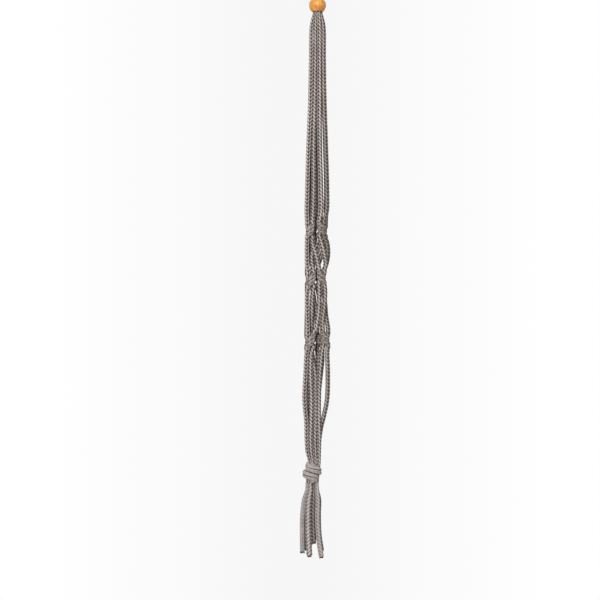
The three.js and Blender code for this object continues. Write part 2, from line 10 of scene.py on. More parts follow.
import bmesh
import bpy
import numpy as np
from mathutils import Vector
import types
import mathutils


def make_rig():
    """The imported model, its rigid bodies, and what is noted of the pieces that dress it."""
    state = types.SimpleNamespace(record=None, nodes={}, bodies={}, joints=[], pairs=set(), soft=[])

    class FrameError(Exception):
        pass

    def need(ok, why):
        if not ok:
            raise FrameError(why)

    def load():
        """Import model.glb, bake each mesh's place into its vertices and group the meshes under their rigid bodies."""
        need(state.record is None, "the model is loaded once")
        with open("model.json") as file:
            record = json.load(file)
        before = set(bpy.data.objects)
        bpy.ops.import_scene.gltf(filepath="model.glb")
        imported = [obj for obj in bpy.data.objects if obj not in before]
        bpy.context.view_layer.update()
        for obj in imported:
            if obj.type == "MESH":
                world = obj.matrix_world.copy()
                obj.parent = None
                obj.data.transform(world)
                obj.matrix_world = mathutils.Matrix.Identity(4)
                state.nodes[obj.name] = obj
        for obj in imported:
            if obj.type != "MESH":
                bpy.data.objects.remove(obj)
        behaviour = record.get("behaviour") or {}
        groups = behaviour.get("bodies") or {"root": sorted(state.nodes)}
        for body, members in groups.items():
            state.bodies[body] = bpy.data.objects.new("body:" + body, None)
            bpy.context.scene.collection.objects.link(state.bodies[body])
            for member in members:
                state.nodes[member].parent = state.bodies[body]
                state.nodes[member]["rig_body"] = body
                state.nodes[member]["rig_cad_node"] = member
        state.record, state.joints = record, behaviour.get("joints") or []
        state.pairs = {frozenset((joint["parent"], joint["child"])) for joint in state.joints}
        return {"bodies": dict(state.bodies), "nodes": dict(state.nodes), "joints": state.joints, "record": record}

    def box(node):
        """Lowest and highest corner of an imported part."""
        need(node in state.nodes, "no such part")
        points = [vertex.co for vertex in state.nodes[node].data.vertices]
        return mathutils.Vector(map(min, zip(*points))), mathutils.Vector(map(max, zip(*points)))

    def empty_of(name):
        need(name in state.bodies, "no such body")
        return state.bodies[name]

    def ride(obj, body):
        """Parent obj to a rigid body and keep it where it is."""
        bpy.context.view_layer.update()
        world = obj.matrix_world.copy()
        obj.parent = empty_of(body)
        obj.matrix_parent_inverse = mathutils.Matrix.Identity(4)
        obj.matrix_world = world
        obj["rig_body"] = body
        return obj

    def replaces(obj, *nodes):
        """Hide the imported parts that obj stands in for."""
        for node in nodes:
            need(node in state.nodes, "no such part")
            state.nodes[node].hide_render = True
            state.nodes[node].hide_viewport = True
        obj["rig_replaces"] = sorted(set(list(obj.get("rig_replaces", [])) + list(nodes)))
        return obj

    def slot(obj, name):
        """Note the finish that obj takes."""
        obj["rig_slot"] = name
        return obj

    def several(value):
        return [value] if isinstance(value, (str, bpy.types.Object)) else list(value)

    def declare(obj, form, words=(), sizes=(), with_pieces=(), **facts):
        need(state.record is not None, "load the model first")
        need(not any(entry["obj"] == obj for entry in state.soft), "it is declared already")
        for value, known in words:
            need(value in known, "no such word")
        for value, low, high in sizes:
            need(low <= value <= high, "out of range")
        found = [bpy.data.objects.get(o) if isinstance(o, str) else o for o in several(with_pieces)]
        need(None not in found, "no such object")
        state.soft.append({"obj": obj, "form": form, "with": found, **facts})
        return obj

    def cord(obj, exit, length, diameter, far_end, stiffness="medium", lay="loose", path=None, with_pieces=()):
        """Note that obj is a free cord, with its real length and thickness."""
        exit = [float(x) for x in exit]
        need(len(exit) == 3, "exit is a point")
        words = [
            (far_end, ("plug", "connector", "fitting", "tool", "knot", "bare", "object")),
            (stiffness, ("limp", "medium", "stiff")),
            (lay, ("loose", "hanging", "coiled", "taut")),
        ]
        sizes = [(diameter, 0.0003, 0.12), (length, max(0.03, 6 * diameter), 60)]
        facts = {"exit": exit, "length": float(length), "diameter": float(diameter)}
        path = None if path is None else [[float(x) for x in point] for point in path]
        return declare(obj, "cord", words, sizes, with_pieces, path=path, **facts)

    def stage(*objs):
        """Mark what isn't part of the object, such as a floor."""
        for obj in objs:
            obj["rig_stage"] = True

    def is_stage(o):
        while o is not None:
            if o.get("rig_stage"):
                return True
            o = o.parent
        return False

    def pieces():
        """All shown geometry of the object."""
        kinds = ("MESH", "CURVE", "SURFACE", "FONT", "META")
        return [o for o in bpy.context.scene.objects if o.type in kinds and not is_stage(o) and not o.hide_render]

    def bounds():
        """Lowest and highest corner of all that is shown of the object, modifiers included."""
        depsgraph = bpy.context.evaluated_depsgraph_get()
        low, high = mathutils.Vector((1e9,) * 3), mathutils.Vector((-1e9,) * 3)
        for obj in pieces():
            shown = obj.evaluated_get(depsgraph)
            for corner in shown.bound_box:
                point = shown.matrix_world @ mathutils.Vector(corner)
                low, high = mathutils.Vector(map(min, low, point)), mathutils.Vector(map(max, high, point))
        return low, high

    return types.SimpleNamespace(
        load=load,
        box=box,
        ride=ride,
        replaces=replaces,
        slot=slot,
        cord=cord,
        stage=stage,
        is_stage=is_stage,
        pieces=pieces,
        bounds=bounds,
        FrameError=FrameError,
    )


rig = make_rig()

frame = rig.load()
cad_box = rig.bounds()

# The cord. A lane is the room that one cord takes beside the next.
CORD = 0.006
GAP = 0.0003
LANE = CORD + GAP

# The braid: four columns of slanting stitches round the cord, and how they are cut into faces
COLUMNS = 4
STITCH = 0.0053
STITCH_DEPTH = 0.0012
STITCH_SLANT = 0.95
STITCH_STAGGER = 0.1
STITCH_REACH = 0.68
FACES_AROUND = 32
FACES_PER_STITCH = 10
STEP = STITCH / FACES_PER_STITCH

# How far the braid falls between two stitches, in a column's middle and at its edge, and how high it stands
# where the yarn is pulled smooth
GROOVE = 0.5
PIT = 0.98
STRETCHED_HEIGHT = 0.9

# Where nothing squeezes a cord, its yarn stands out past its diameter by this share.
FULL_YARN = 0.18

# How thick a squeezed cord still is, as a share of its diameter: in the bead's bore, in the loop's legs, in
# the gathering knot's neck, and at a pair knot's waist
BORE_THICKNESS_SHARE = 0.65
LEG_THICKNESS_SHARE = 0.8
NECK_THICKNESS_SHARE = 0.75
WAIST_THICKNESS_SHARE = 0.82

# A cord wound round a knot: its stops in each turn, how far from the middle its tucked ends lie, and the turn
# at which it passes the front
WOUND_STOPS = 12
TUCKED_OUT = 0.25
FRONT_TURN = -0.25

# The band of doubled cord round a pair knot: the cords, how they are wound, where they lie, and their look
BAND_CORD = 1.02 * CORD
BAND_FLATNESS = 0.74
BAND_APART = 0.46 * CORD
BAND_DROP = 1.4 * CORD
BAND_TURNS = 1.1
BAND_START = 0.2
BAND_SLOPE = 0.45
BAND_TUCK = 0.15
BAND_WIDTH_SHARE = 0.9
BAND_INWARD = 0.14 * CORD
BAND_STRETCH = 0.45
BAND_TINT = 0.3

# The gathering knot: the bundle's thickness, the cords fanned over its outer side, how it is wound round
# itself, and their look
GATHER_BUNDLE = 0.0145
GATHER_CORD = 0.0053
GATHER_CORDS = 4
GATHER_FAN = math.pi
GATHER_DROP = 0.0235
GATHER_RISE = 0.0008
GATHER_TURNS = 1.5
GATHER_START = 0
GATHER_STEEPNESS = 0.7
GATHER_TUCK = 0.3
GATHER_STRETCH = 0.85
GATHER_ROLL = 0.13
GATHER_TINT = -0.1

# Inside a bundle, shade is painted dark within one share of its radius, and none beyond the other.
DARK_WITHIN = 0.6
LIT_BEYOND = 0.94

# The bead's edges and how finely it is turned
BEAD_EDGE = 0.0008
BEAD_EDGE_STEPS = 6
BEAD_SPINS = 96
BEAD_STEPS = 40

# The frayed ends: how long they are, from how many such lengths inside the cord their plies start, how many
# plies show, how far out they stand by turns, and how thick a ply is
FRAY = 0.0032
FRAY_ROOT = 1.5
PLIES = 15
PLY_RINGS = (0.35, 0.8, 0.8)
PLY = 0.00115
PLY_SIDES = 6
PLY_STEPS = 6

# How the plies differ: how far each strays from its place round the cord, how strongly it leans out, by what
# share of the fray it is shorter, and how light it is. All of them thin out towards their tips.
PLY_STRAY = (-0.3, 0.3)
PLY_LEAN = (0.3, 1.0)
PLY_SHORTER = (0, 0.3)
PLY_LIGHT = (0.45, 0.9)
PLY_THINNING = 0.35

# Four cords side by side, in lanes
FOUR = (-1.5, -0.5, 0.5, 1.5)

# The strands, and the knots that tie them in pairs, as in the part's source: how far sideways a knot lies, in
# lanes, and whether it is in the front layer, at -1, or in the back one, at 1
STRANDS = (1, 2, 3, 4, 5, 6, 7, 8)
KNOTS = {
    "row_1": {(1, 2): (-1.8, -1), (3, 4): (0.96, -1), (6, 5): (1.25, 1), (7, 8): (-1.18, 1)},
    "row_2": {(1, 8): (-1.53, -1), (2, 3): (0.95, -1), (5, 4): (0.62, 1), (7, 6): (-1.82, 1)},
    "row_3": {(1, 2): (-1.63, -1), (3, 4): (1.8, -1), (6, 5): (0.5, 1), (7, 8): (-1.95, 1)},
}

# A pair knot's depth, and how far from its middle a strand enters it and passes its waist
KNOT_DEPTH = 2.07 * CORD
PORT_OUT = 0.6 * LANE
WAIST_OUT = 0.34 * CORD

# Where the gathering knot and its neck stand, how far apart the strands are there, and their order from left
# to right in the neck and as tails, in front and behind
GATHER_SIDEWAYS = -1.27 * LANE
NECK_SIDEWAYS = -0.78 * LANE
NECK_LANE = NECK_THICKNESS_SHARE * CORD + GAP
NECK_FRONT = (1, 2, 8, 3)
NECK_BACK = (7, 6, 5, 4)
TAIL_FRONT = (1, 2, 3, 4)
TAIL_BACK = (7, 8, 6, 5)

# The strands' order round the bead's bore, the loop above it that joins them in pairs, a loop cord's stops
# over the hook, the room for the hook, and how far up the bead slides
BORE_ORDER = (4, 5, 6, 8, 7, 1, 2, 3)
LOOP_PAIRS = ((2, 3), (1, 4), (7, 5), (8, 6))
LOOP_STOPS = 8
HOOK_ROOM = 0.022
BEAD_TRAVEL = 0.012

# A strand's route from knot to knot: sideways and backward in lanes, the share of the way down, and its
# thickness there, 1 if not given
UPPER_ROUTES = {
    1: ((-1.4, -0.5, 0.095, 0.87), (-1.53, -0.51, 0.25, 0.95), (-1.68, -0.53, 0.433, 1),
        (-2.05, -0.54, 0.616, 1), (-2.38, -0.56, 0.844, 1), (-2.5, -0.62, 0.94, 1)),
    2: ((-0.46, -0.5, 0.095, 0.87), (-0.52, -0.51, 0.25, 0.95), (-0.66, -0.53, 0.433, 1),
        (-0.86, -0.54, 0.616, 1), (-0.9, -0.56, 0.844, 1), (-1.05, -0.62, 0.94, 1)),
    3: ((0.46, -0.5, 0.095, 0.89), (0.46, -0.51, 0.25, 0.95), (0.47, -0.53, 0.433, 1),
        (0.47, -0.54, 0.616, 1), (0.74, -0.56, 0.844, 1), (0.8, -0.62, 0.94, 1)),
    4: ((1.38, -0.5, 0.095, 0.89), (1.44, -0.51, 0.25, 0.95), (1.55, -0.53, 0.433, 1),
        (1.84, -0.54, 0.616, 1), (2.16, -0.56, 0.844, 1), (2.12, -0.62, 0.94, 1)),
    5: ((1.38, 0.5, 0.095, 0.89), (1.42, 0.51, 0.25, 0.95), (1.5, 0.53, 0.433, 1),
        (1.76, 0.54, 0.616, 1), (2.02, 0.56, 0.844, 1), (1.95, 0.62, 0.94, 1)),
    6: ((0.46, 0.5, 0.095, 0.89), (0.42, 0.51, 0.25, 0.95), (0.35, 0.53, 0.433, 1),
        (0.52, 0.54, 0.616, 1), (0.64, 0.56, 0.844, 1), (0.7, 0.62, 0.94, 1)),
    7: ((-1.38, 0.5, 0.095, 0.89), (-1.5, 0.51, 0.25, 0.95), (-1.62, 0.53, 0.433, 1),
        (-1.75, 0.54, 0.616, 1), (-1.8, 0.56, 0.844, 1), (-1.78, 0.62, 0.94, 1)),
    8: ((-0.46, 0.5, 0.095, 0.89), (-0.5, 0.51, 0.25, 0.95), (-0.55, 0.53, 0.433, 1),
        (-0.52, 0.54, 0.616, 1), (-0.42, 0.56, 0.844, 1), (-0.4, 0.62, 0.94, 1)),
}
ROW_1_TO_2_ROUTES = {
    1: ((-2.46, -0.62, 0.25), (-2.46, -0.56, 0.5), (-2.42, -0.62, 0.75)),
    2: ((-1.12, -0.62, 0.22), (-0.4, -0.56, 0.5), (0.12, -0.62, 0.78)),
    3: ((0.82, -0.62, 0.22), (1.42, -0.56, 0.5), (1.86, -0.66, 0.78)),
    4: ((2.14, -0.55, 0.2), (2.4, 0.05, 0.47), (2, 0.6, 0.75)),
    5: ((1.5, 0.62, 0.25), (0.85, 0.56, 0.5), (0.2, 0.62, 0.75)),
    6: ((0.36, 0.62, 0.2), (-0.3, 0.58, 0.5), (-0.95, 0.62, 0.75)),
    7: ((-2.05, 0.78, 0.25), (-2.2, 0.95, 0.5), (-2.35, 0.85, 0.75)),
    8: ((-0.68, 0.62, 0.17), (-1.14, 0.42, 0.38), (-1.38, -0.05, 0.56), (-1.22, -0.56, 0.78)),
}
ROW_2_TO_3_ROUTES = {
    1: ((-2.42, -0.6, 0.2), (-2.38, -0.55, 0.5), (-2.25, -0.6, 0.8)),
    2: ((0.42, -0.6, 0.18), (0.35, -0.55, 0.5), (-0.02, -0.62, 0.75), (-0.4, -0.78, 0.9)),
    3: ((1.7, -0.62, 0.18), (1.45, -0.56, 0.5), (1.08, -0.64, 0.78)),
    4: ((1.45, 0.62, 0.18), (1.75, 0.56, 0.42), (1.9, 0.45, 0.6), (2.2, -0.1, 0.78), (2.4, -0.7, 0.91)),
    5: ((0.28, 0.62, 0.2), (0.62, 0.56, 0.5), (0.95, 0.62, 0.8)),
    6: ((-0.98, 0.62, 0.2), (-0.5, 0.56, 0.5), (-0.2, 0.62, 0.8)),
    7: ((-2.4, 0.62, 0.2), (-2.42, 0.58, 0.45), (-2.5, 0.62, 0.8)),
    8: ((-1.15, -0.62, 0.16), (-1.3, -0.5, 0.4), (-1.35, 0.1, 0.64), (-1.35, 0.62, 0.86)),
}
LOWER_ROUTES = {
    1: ((-2.5, -0.66, 0.06), (-2.76, -0.53, 0.23), (-3.02, -0.53, 0.46), (-2.62, -0.53, 0.64),
        (-2.54, -0.52, 0.8, 0.94), (-2.4, -0.48, 0.9, 0.88)),
    2: ((-1.42, -0.66, 0.06), (-1.6, -0.53, 0.23), (-1.38, -0.53, 0.46), (-1.45, -0.53, 0.64),
        (-1.57, -0.52, 0.8, 0.94), (-1.46, -0.48, 0.9, 0.88)),
    3: ((0.95, -0.7, 0.06), (0.5, -0.53, 0.23), (0.26, -0.53, 0.46), (0.26, -0.53, 0.64),
        (0.36, -0.52, 0.8, 0.94), (0.34, -0.48, 0.9, 0.88)),
    4: ((2.22, -0.7, 0.06), (2.34, -0.5, 0.23), (2.2, -0.35, 0.46), (1.5, 0.1, 0.6),
        (0.85, 0.42, 0.7, 0.98), (0.42, 0.54, 0.82, 0.92)),
    5: ((1.06, 0.8, 0.06), (1.04, 0.78, 0.13), (0.7, 0.74, 0.25), (0.12, 1.0, 0.46), (-0.2, 1.08, 0.64),
        (-0.56, 0.62, 0.82, 0.92)),
    6: ((-0.04, 0.8, 0.06), (0, 0.8, 0.13), (-0.36, 0.8, 0.25), (-0.68, 1.12, 0.35), (-1.0, 1.12, 0.46),
        (-1.28, 1.02, 0.64), (-1.52, 0.58, 0.82, 0.92)),
    7: ((-2.4, 0.72, 0.06), (-2.15, 0.56, 0.23), (-2.22, 0.6, 0.46), (-2.34, 0.62, 0.64),
        (-2.5, 0.54, 0.82, 0.92)),
    8: ((-1.3, 0.75, 0.05), (-1.05, 0.35, 0.12), (-0.56, -0.27, 0.25), (-0.56, 0.02, 0.35),
        (-0.57, 0.16, 0.46), (-0.58, 0.1, 0.64), (-0.6, -0.42, 0.82, 0.92)),
}
TAIL_ROUTES = {
    1: ((-3.1, -0.52, 0.22), (-3.5, -0.55, 0.45), (-3.55, -0.58, 0.75), (-3.5, -0.6, 1)),
    2: ((-2.05, -0.55, 0.22), (-2.18, -0.58, 0.5), (-2.05, -0.6, 0.8), (-1.85, -0.62, 1)),
    3: ((-0.98, -0.52, 0.22), (-1.08, -0.52, 0.5), (-0.98, -0.54, 0.8), (-0.85, -0.56, 1)),
    4: ((0.05, -0.52, 0.22), (-0.02, -0.55, 0.45), (0.3, -0.6, 0.75), (0.92, -0.66, 1)),
    5: ((0.32, 0.52, 0.22), (0.25, 0.55, 0.45), (0.42, 0.6, 0.75), (1.0, 0.66, 1)),
    6: ((-0.8, 0.52, 0.22), (-0.82, 0.55, 0.5), (-0.64, 0.58, 1)),
    7: ((-2.8, 0.52, 0.22), (-2.95, 0.56, 0.5), (-2.72, 0.6, 1)),
    8: ((-1.8, 0.52, 0.22), (-1.88, 0.55, 0.5), (-1.66, 0.58, 1)),
}

# How each strand is rolled about its own line, in turns, so that its stitches lie as in the photograph
STRAND_ROLLS = {1: 0.02, 2: 0.11, 3: 0.15, 4: 0.06, 5: 0.15, 6: 0.2, 7: 0.08, 8: 0.13}

# Each strand's tint at the bead, the three rows and the gathering knot, from cool grey at -1 over pinkish
# grey at 0 to olive grey at 1. The olive is partly the yarn's colour and partly painted shade, darker on the
# strands that lie behind or in shadow.
STRAND_TINTS_AND_SHADE = {
    1: (0, 0, 0.1, 0.1, 0),
    2: (0.35, 0.3, 0.2, 0.1, 0),
    3: (0, 0, 0.5, 0.3, 0),
    4: (0.3, 0.9, 0.9, 0.5, 0.3),
    5: (0.4, 0.5, 0.5, 0.5, 0.4),
    6: (0.4, 0.5, 0.5, 0.5, 0.4),
    7: (0.4, 0.5, 0.5, 0.5, 0.4),
    8: (0.4, 0.5, 0.3, 0.4, 0.2),
}

# The free ends: their tints, the olive partly painted shade on the ends that lie behind or recessed, how far
# their yarn is pulled smooth, their rolls where these aren't their strand's, and how full and how frayed
# they are
TAIL_TINTS_AND_SHADE = {1: -0.8, 2: -0.1, 3: 0.9, 4: -0.15, 5: 0.6, 6: 0.7, 7: 0.7, 8: 0.7}
TAIL_STRETCHES = {1: 0.75, 2: 0.4, 4: 0.6, 5: 0.6}
TAIL_ROLLS = {2: 0.375, 4: 0.18}
TAIL_FULLNESS = {2: 1.25, 4: 1.08}
TAIL_FLARES = {1: 0.75, 7: 0.15}
TAIL_FLARE = 0.25

# The loop's tint, and how much further each of its cords is rolled than the one before
LOOP_TINT = 0.2
LOOP_ROLL = 0.1

# The yarn's three tints, of which the olive is partly painted shade, its pale patches, the painted shade in its holes,
# and the wood's two tones
PINKISH_YARN = (0.66, 0.565, 0.52, 1)
COOL_YARN = (0.46, 0.462, 0.465, 1)
OLIVE_YARN = (0.25, 0.213, 0.17, 1)
PALE_YARN = (0.78, 0.69, 0.645, 1)
PAINTED_SHADE_IN_BRAID_HOLES = (0.008, 0.005, 0.0045, 1)
DARK_WOOD = (0.5, 0.155, 0.013, 1)
LIGHT_WOOD = (0.93, 0.44, 0.062, 1)

# The camera's distance and sensor, how much the view holds at the hanger, and the view's middle, sideways and
# upward
CAMERA_AWAY = 3.0
SENSOR_WIDTH = 36
VIEW_WIDTH = 0.870
VIEW_CENTRE = (-0.0255, -0.4892)

# The studio: how strongly its walls light the hanger, how white they look beside it and right behind it, and
# how far to the side the one passes into the other. Then the floor, and how much brighter it looks than it is
# lit.
ROOM_LIGHT = 0.27
WALL_WHITE = 1.0
WALL_BEHIND = 0.925
WALL_FADE = (0.015, 0.12)
FLOOR_LEVEL = -2.0
FLOOR_RADIUS = 4.0
FLOOR_SIDES = 96
FLOOR_GLOW = 0.45
FLOOR_PALE = (0.82, 0.82, 0.82, 1)
FLOOR_PALER = (0.86, 0.86, 0.86, 1)
BLACK = (0, 0, 0, 1)
WHITE = (1, 1, 1, 1)

# The lamps: where each stands, how wide it is, and its watts
LAMPS = {
    "key": ((-1.0, -2.7, 1.1), 0.9, 84),
    "fill": ((2.2, -2.0, 0.1), 1.8, 5),
    "back": ((0.5, 2.8, 0.7), 1.8, 40),
}


def middle(node):
    """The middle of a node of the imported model."""
    low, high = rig.box(node)
    return (low + high) / 2


bead_level = middle("bead").z
bead_low, bead_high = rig.box("bead")
bead_half_height = (bead_high.z - bead_low.z) / 2
bore_cord = BORE_THICKNESS_SHARE * CORD
bore_ring = (bore_cord + GAP) / (2 * math.sin(math.pi / len(BORE_ORDER)))
gather_low, gather_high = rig.box("gather_knot")
pivot_level = gather_low.z - GAP - NECK_THICKNESS_SHARE * CORD / 2

# How far down each of a strand's tints belongs
tint_levels = ("bead", "row_1_knot_1_2", "row_2_knot_1_8", "row_3_knot_1_2", "gather_knot")
tint_depths = [-middle(node).z for node in tint_levels]


class Stop:
    """A place on a cord's route, and the cord's thickness there as a share of its diameter."""

    def __init__(self, x, y, z, thickness=1.0):
        self.place = (x, y, z)
        self.thickness = thickness


def bore_place(strand, level):
    """A strand's place in the ring of squeezed strands that fills the bead's bore."""
    turn = (BORE_ORDER.index(strand) - 0.5) / len(BORE_ORDER) * 2 * math.pi
    return Stop(bore_ring * math.cos(turn), bore_ring * math.sin(turn), level, BORE_THICKNESS_SHARE)


def wound_route(centre, reach, level_at, turns, start, mirror, tuck):
    """Stops round a knot's middle, as far out sideways and in depth as reach says, at the level given for
    each. Over a share of the run, tuck, they come out from near the middle, and at the end go back in."""
    count = WOUND_STOPS * math.ceil(turns)
    stops = []
    for index in range(count + 1):
        along = index / count
        turn = (start - along * turns) * 2 * math.pi
        from_end = min(1, min(along, 1 - along) / tuck)
        out = TUCKED_OUT + (1 - TUCKED_OUT) * from_end
        x = centre.x + mirror * out * reach[0] * math.cos(turn)
        y = centre.y + out * reach[1] * math.sin(turn)
        stops.append(Stop(x, y, level_at(along)))
    return stops


def places_between(table, start, end):
    """The stops of a strand's table between two levels."""
    return [
        Stop(sideways * LANE, backward * LANE, start + (end - start) * down, *thickness)
        for sideways, backward, down, *thickness in table
    ]


def knot_name(row, pair):
    return f"{row}_knot_{pair[0]}_{pair[1]}"


def knot_of(row, strand):
    """The middle of the knot that ties this strand in a row, its half height, and the side it passes on."""
    for pair, (sideways, backward) in KNOTS[row].items():
        if strand in pair:
            low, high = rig.box(knot_name(row, pair))
            centre = Vector((sideways * LANE, backward * (KNOT_DEPTH + GAP) / 2, (low.z + high.z) / 2))
            return centre, (high.z - low.z) / 2, -1 if strand == pair[0] else 1
    raise ValueError(strand)


def through_knot(row, strand):
    """A strand's stops from above a pair knot to below it, drawn in at the waist."""
    centre, half, side = knot_of(row, strand)
    past = CORD / 2 / half
    waist = WAIST_THICKNESS_SHARE
    out_shares = (1, 1.05, 1, 0.45, 0, 0, 0.35, 1, 1, 1)
    up_shares = (1 + past, 1, 0.75, 0.3, -0.05, -0.4, -0.65, -0.88, -1, -1 - past)
    thickness_shares = (1, 0.98, 0.94, 0.88, waist, waist, 0.88, 0.94, 0.98, 1)
    stops = []
    for out, up, thickness in zip(out_shares, up_shares, thickness_shares):
        x = centre.x + side * (WAIST_OUT + (PORT_OUT - WAIST_OUT) * out)
        stops.append(Stop(x, centre.y, centre.z + half * up, thickness))
    return stops


def neck_place(strand):
    """Where a strand stands in the gathering knot's neck, sideways and in depth."""
    row, depth = (NECK_FRONT, -1) if strand in NECK_FRONT else (NECK_BACK, 1)
    return NECK_SIDEWAYS + FOUR[row.index(strand)] * NECK_LANE, depth * NECK_LANE / 2


def tail_place(strand):
    """Where a tail comes out under the gathering knot, sideways and in depth."""
    row, depth = (TAIL_FRONT, -1) if strand in TAIL_FRONT else (TAIL_BACK, 1)
    return GATHER_SIDEWAYS + FOUR[row.index(strand)] * NECK_LANE, depth * NECK_LANE / 2


def strand_route(strand):
    """From the middle of the bead's bore through the three rows of knots into the gathering knot."""
    route = [
        bore_place(strand, bead_level - GAP / 2),
        bore_place(strand, bead_level - bead_half_height - GAP),
    ]
    level = bead_level
    tables = (UPPER_ROUTES, ROW_1_TO_2_ROUTES, ROW_2_TO_3_ROUTES)
    for row, table in zip(KNOTS, tables):
        centre, half, _ = knot_of(row, strand)
        route += places_between(table[strand], level, centre.z + half + GAP)
        route += through_knot(row, strand)
        level = centre.z - half - GAP
    route += places_between(LOWER_ROUTES[strand], level, gather_high.z + GAP)
    above = Vector((*neck_place(strand), gather_high.z))
    below = Vector((*tail_place(strand), gather_low.z))
    route.append(Stop(above.x, above.y, above.z + CORD / 2, NECK_THICKNESS_SHARE))
    for share in (0, 0.3, 0.65, 0.95):
        route.append(Stop(*(above + (below - above) * share), NECK_THICKNESS_SHARE))
    return route


def tail_route(strand):
    """From inside the gathering knot's underside down to the cut end."""
    x, y = tail_place(strand)
    low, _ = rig.box(f"strand_{strand}_tail")
    route = [
        Stop(x, y, pivot_level + 0.7 * CORD, NECK_THICKNESS_SHARE),
        Stop(x, y, pivot_level, NECK_THICKNESS_SHARE),
        Stop(x, y, pivot_level - CORD, (NECK_THICKNESS_SHARE + 1) / 2),
    ]
    return route + places_between(TAIL_ROUTES[strand], pivot_level, low.z)


def loop_route(index):
    """Up out of the bead on the left, over the hook, and down into the bead on the right."""
    left, right = LOOP_PAIRS[index]
    y = FOUR[index] * LANE
    radius = (HOOK_ROOM + CORD) / 2
    level = -HOOK_ROOM / 2
    over_bead = bead_level + bead_half_height + BEAD_TRAVEL + GAP

    def leg(strand, side):
        """A strand's way up out of the bore and half way to the hook."""
        stops = [
            bore_place(strand, bead_level + GAP / 2),
            bore_place(strand, (bead_level + over_bead) / 2),
            bore_place(strand, over_bead),
        ]
        x_up, y_up, z_up = stops[-1].place
        half_way = Stop((x_up + side * radius) / 2, (y_up + y) / 2, (z_up + level) / 2, LEG_THICKNESS_SHARE)
        return [*stops, half_way]

    over = []
    for step in range(LOOP_STOPS + 1):
        turn = math.pi * (1 - step / LOOP_STOPS)
        over.append(Stop(radius * math.cos(turn), y, level + radius * math.sin(turn)))
    return [*leg(left, -1), *over, *reversed(leg(right, 1))]


class Line:
    """A smooth line through a route's stops, with even steps, a thickness and two side ways at each."""

    # Samples in a span, stops along a line beside this one, and how many steps apart openness looks at it
    SAMPLES = 24
    STOPS_BESIDE = 24
    STEPS_APART = 3

    def __init__(self, stops, step, outward=None):
        places = np.array([stop.place for stop in stops])
        thick = np.array([stop.thickness for stop in stops])
        first = 2 * places[0] - places[1]
        last = 2 * places[-1] - places[-2]
        ring = np.vstack([first, places, last])
        samples, shares = [], []
        for index in range(len(places) - 1):
            a, b, c, d = ring[index:index + 4]
            samples.append(self.span(a, b, c, d))
            shares.append(index + np.arange(self.SAMPLES) / self.SAMPLES)
        samples = np.vstack([*samples, places[-1:]])
        shares = np.append(np.concatenate(shares), len(places) - 1)
        run = np.concatenate([[0], np.cumsum(np.linalg.norm(np.diff(samples, axis=0), axis=1))])
        self.length = float(run[-1])
        self.steps = max(2, round(self.length / step))
        self.along = np.linspace(0, self.length, self.steps + 1)
        self.places = np.stack([np.interp(self.along, run, samples[:, axis]) for axis in range(3)], 1)
        share_here = np.interp(self.along, run, shares)
        self.thickness = np.interp(share_here, np.arange(len(thick)), thick)
        self.ahead = np.gradient(self.places, axis=0)
        self.ahead /= np.linalg.norm(self.ahead, axis=1, keepdims=True)
        self.side = self.carried_side() if outward is None else self.squared(outward(self.places))
        self.other_side = np.cross(self.ahead, self.side)

    def span(self, a, b, c, d):
        """One span of a centripetal Catmull-Rom curve, from b up to c."""
        before, here, after = (np.sqrt(np.linalg.norm(q - p)) for p, q in ((a, b), (b, c), (c, d)))
        start = ((b - a) / before - (c - a) / (before + here) + (c - b) / here) * here
        end = ((c - b) / here - (d - b) / (here + after) + (d - c) / after) * here
        t = (np.arange(self.SAMPLES) / self.SAMPLES)[:, None]
        return (
            b * (2 * t**3 - 3 * t**2 + 1) + c * (3 * t**2 - 2 * t**3)
            + start * (t**3 - 2 * t**2 + t) + end * (t**3 - t**2)
        )

    def openness(self, places, radius):
        """Spares yarn from painted shade: 0 deep inside a bundle along this line, 1 at its skin."""
        kept = self.places[::self.STEPS_APART]
        apart = np.array([np.linalg.norm(kept - place, axis=1).min() for place in places])
        return np.interp(apart / radius, (DARK_WITHIN, LIT_BEYOND), (0, 1))

    def beside(self, out, across, step, outward):
        """A line beside this one, by so much along its two side ways."""
        places = self.places + out * self.side + across * self.other_side
        stride = max(1, self.steps // self.STOPS_BESIDE)
        kept = [*range(0, self.steps, stride), self.steps]
        return Line([Stop(*places[index]) for index in kept], step, outward)

    def squared(self, ways):
        """The given ways, turned square to the line."""
        ways = ways - (ways * self.ahead).sum(1, keepdims=True) * self.ahead
        return ways / np.linalg.norm(ways, axis=1, keepdims=True)

    def carried_side(self):
        """Starts towards the viewer and is carried along the line without twisting."""
        way = np.array((0.0, -1.0, 0.0))
        if abs(self.ahead[0] @ way) > 0.9:
            way = np.array((1.0, 0.0, 0.0))
        sides = []
        for ahead in self.ahead:
            way = way - (way @ ahead) * ahead
            way /= np.linalg.norm(way)
            sides.append(way)
        return np.array(sides)


def stitch_height(turns, stitches):
    """How high the braid stands, from 0 in a hole to 1 on a stitch."""
    height = np.zeros_like(turns)
    for column in range(COLUMNS):
        across = (turns * COLUMNS - column - 0.5 + COLUMNS / 2) % COLUMNS - COLUMNS / 2
        slant = STITCH_SLANT if column % 2 else -STITCH_SLANT
        phase = stitches - slant * across + STITCH_STAGGER * (column % 2)
        from_middle = 2 * (phase % 1) - 1
        along = np.clip(1 - (across / STITCH_REACH) ** 2, 0, 1)
        low = GROOVE + (PIT - GROOVE) * np.clip(2 * np.abs(across), 0, 1)
        side = np.clip(1 - low * from_middle**2, 0, 1)
        height = np.maximum(height, np.sqrt(along * side))
    return height


